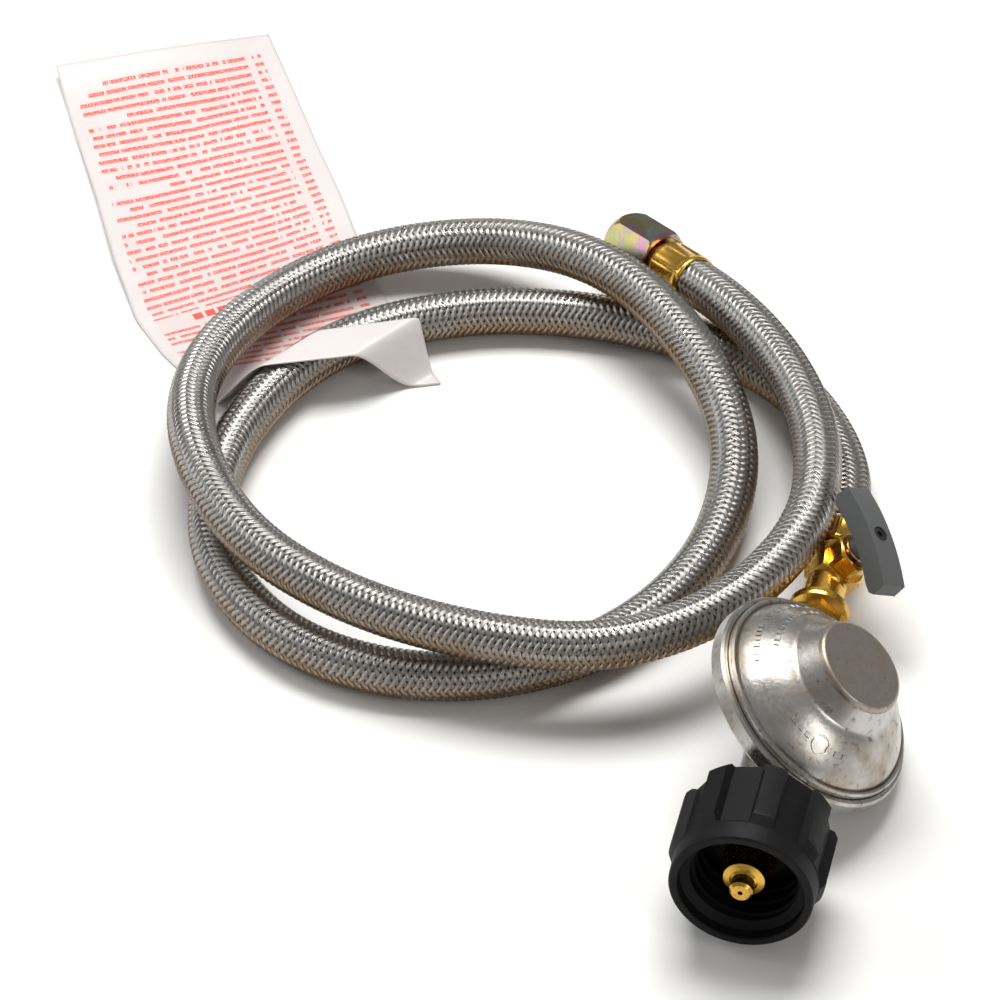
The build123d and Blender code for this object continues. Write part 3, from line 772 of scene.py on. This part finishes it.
# ---------------------------------------------------------------- marks on the casting
class HOSE_OT_marks(bpy.types.Operator):
    """Makes the plain raised bars and the ring on the regulator's dome."""

    bl_idname = "hose.marks"
    bl_label = "Cast marks"

    def execute(self, context):
        bonnet = frame["nodes"]["bonnet"]
        tree = BVHTree.FromObject(bonnet, bpy.context.evaluated_depsgraph_get())
        sideways = BACK.cross(DOME)
        rng = random.Random(7)
        shell = bmesh.new()
        sunk, raised, slope = 0.0003, 0.00042, 0.0002

        def on_dome(angle, radius):
            out = BACK * math.cos(angle) + sideways * math.sin(angle)
            hit, normal, _, _ = tree.ray_cast(DISC_CENTRE + out * radius + DOME * 0.06, -DOME)
            if normal.dot(DOME) < 0:
                normal = -normal
            return hit, normal, out

        def bar(angle, radius, width, depth, height):
            hit, normal, out = on_dome(angle, radius)
            side = normal.cross(out).normalized()
            ahead = side.cross(normal).normalized()
            foot, top = [], []
            for x, y in ((-1, -1), (1, -1), (1, 1), (-1, 1)):
                low = side * x * width / 2 + ahead * y * depth / 2
                high = side * x * (width / 2 - slope) + ahead * y * (depth / 2 - slope)
                foot.append(shell.verts.new(hit + low - normal * sunk))
                top.append(shell.verts.new(hit + high + normal * height))
            shell.faces.new(top)
            shell.faces.new(foot[::-1])
            for k in range(4):
                shell.faces.new((foot[k], foot[(k + 1) % 4], top[(k + 1) % 4], top[k]))

        # each row of bars is a radius and the angles, in degrees, that it runs between
        arcs = ((0.0292, -112, -22), (0.0247, -100, -30), (0.0268, 158, 169), (0.0268, 187, 200))
        for radius, start, end in arcs:
            angle = math.radians(start)
            while angle < math.radians(end):
                width = rng.uniform(0.0011, 0.0026)
                bar(angle + width / 2 / radius, radius, width, 0.0019, raised)
                gap = 0.0008 if rng.random() < 0.8 else 0.0026
                angle += (width + gap) / radius
        ring_centre, ring_normal, ring_out = on_dome(math.radians(178), 0.0268)
        ring_side = ring_normal.cross(ring_out).normalized()
        ring_ahead = ring_side.cross(ring_normal).normalized()
        steps = 40
        loops = []
        for reach, rise in ((0.0033, -sunk), (0.0031, 0.00028), (0.0027, 0.00028), (0.0025, -sunk)):
            loop = []
            for k in range(steps):
                angle = math.tau * k / steps
                out = ring_side * math.cos(angle) + ring_ahead * math.sin(angle)
                loop.append(shell.verts.new(ring_centre + out * reach + ring_normal * rise))
            loops.append(loop)
        for inner, outer in zip(loops, loops[1:]):
            for k in range(steps):
                after = (k + 1) % steps
                shell.faces.new((inner[k], inner[after], outer[after], outer[k]))
        bmesh.ops.recalc_face_normals(shell, faces=shell.faces)
        mesh = bpy.data.meshes.new("cast_marks")
        shell.to_mesh(mesh)
        shell.free()
        marks = bpy.data.objects.new("cast_marks", mesh)
        context.scene.collection.objects.link(marks)
        mesh.materials.append(cast_material(context.scene.hose_colours, "cast_marks_metal"))
        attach(marks, "regulator")
        return {"FINISHED"}


# ---------------------------------------------------------------- finishes
def cast_material(colours, name="cast_metal"):
    """Bright die-cast alloy, speckled and a little worn."""
    return metal(name, colours.cast, (0.34, 0.28, 0.21), (0.22, 0.38), 650.0, 0.26, 70.0)


def plated_material(colours):
    """Yellow zinc with faint purple and green patches."""
    made, tree, shader, place = new_material("yellow_zinc", 1.0)
    drift = noise(tree, place, 110.0, 2.0, 0.5, 0.6)
    second = noise(tree, place, 75.0, 2.0, 0.5, 1.0)
    base = mix_colour(tree, ramp(tree, drift, 0.48, 0.62, 0.0, 0.85), colours.plate, (0.42, 0.20, 0.36))
    base = mix_colour(tree, ramp(tree, second, 0.52, 0.66, 0.0, 0.85), base, (0.16, 0.42, 0.32))
    grain = noise(tree, place, 1200.0, 2.0)
    set_shader(
        tree,
        shader,
        Base_Color=base,
        Roughness=ramp(tree, second, 0.3, 0.7, 0.16, 0.30),
        Normal=bump(tree, grain, 0.10, 0.0001),
    )
    return made


class HOSE_OT_finishes(bpy.types.Operator):
    """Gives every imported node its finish."""

    bl_idname = "hose.finishes"
    bl_label = "Finishes"

    def execute(self, context):
        colours = context.scene.hose_colours
        brass = brass_material(colours)
        cast = cast_material(colours)
        cap = metal("satin_cap", colours.cap, (0.34, 0.28, 0.22), (0.34, 0.46), 1500.0, 0.12, 120.0)
        black = moulded(
            "black_nut", colours.plastic, (0.48, 0.62), 1300.0, 0.30, dust=0.06, Specular_IOR_Level=0.2
        )
        grey = moulded("grey_handle", colours.handle, (0.42, 0.60), 900.0, 0.35, dust=0.35)
        white = moulded("inner_plastic", (0.6, 0.6, 0.57), (0.4, 0.5), 900.0, 0.2)
        rubber = moulded("seal_rubber", (0.02, 0.02, 0.02), (0.6, 0.75), 700.0, 0.3)
        steel = metal("plated_steel", (0.56, 0.56, 0.57), (0.40, 0.38, 0.36), (0.25, 0.4), 900.0, 0.15)
        screw = metal("dark_screw", (0.10, 0.10, 0.11), (0.05, 0.05, 0.05), (0.35, 0.5), 900.0, 0.2)
        by_slot = {
            "black_plastic": black,
            "bushing_plastic": black,
            "brass": brass,
            "cast_alloy": cast,
            "spring_steel": steel,
            "zinc_plate": plated_material(colours),
            "grey_plastic": grey,
            "inner_plastic": white,
            "rubber": rubber,
            "steel_braid": steel,
            "label": white,
        }
        by_node = {"tower_cap": cap, "handle_screw": screw}
        for row in frame["record"]["subparts"]:
            node = frame["nodes"][row["node"]]
            node.data.materials.clear()
            node.data.materials.append(by_node.get(row["node"], by_slot[row["material_slot"]]))
        return {"FINISHED"}


# ---------------------------------------------------------------- panel and registration
STEPS = (
    HOSE_OT_stage,
    HOSE_OT_ferrules,
    HOSE_OT_threads,
    HOSE_OT_braided_hose,
    HOSE_OT_tag,
    HOSE_OT_marks,
    HOSE_OT_finishes,
)


class HOSE_PT_panel(bpy.types.Panel):
    """Lists the pieces and their settings."""

    bl_idname = "HOSE_PT_panel"
    bl_label = "Regulator Hose"
    bl_space_type = "VIEW_3D"
    bl_region_type = "UI"
    bl_category = "Regulator Hose"

    def draw(self, context):
        for settings in (context.scene.hose_sizes, context.scene.hose_colours, context.scene.stage_look):
            box = self.layout.box()
            for key in settings.__annotations__:
                box.prop(settings, key)
        for step in STEPS:
            self.layout.operator(step.bl_idname)


SETTINGS = {"hose_sizes": HoseSizes, "hose_colours": HoseColours, "stage_look": StageLook}
CLASSES = (*SETTINGS.values(), *STEPS, HOSE_PT_panel)


def register():
    """Registers the classes and the settings."""
    for made in CLASSES:
        bpy.utils.register_class(made)
    for key, group in SETTINGS.items():
        setattr(bpy.types.Scene, key, PointerProperty(type=group))


def unregister():
    """Takes them away again."""
    for key in SETTINGS:
        delattr(bpy.types.Scene, key)
    for made in reversed(CLASSES):
        bpy.utils.unregister_class(made)


def main():
    """Makes every piece in order."""
    register()
    for step in STEPS:
        group, name = step.bl_idname.split(".")
        getattr(getattr(bpy.ops, group), name)()


if __name__ == "__main__":
    main()
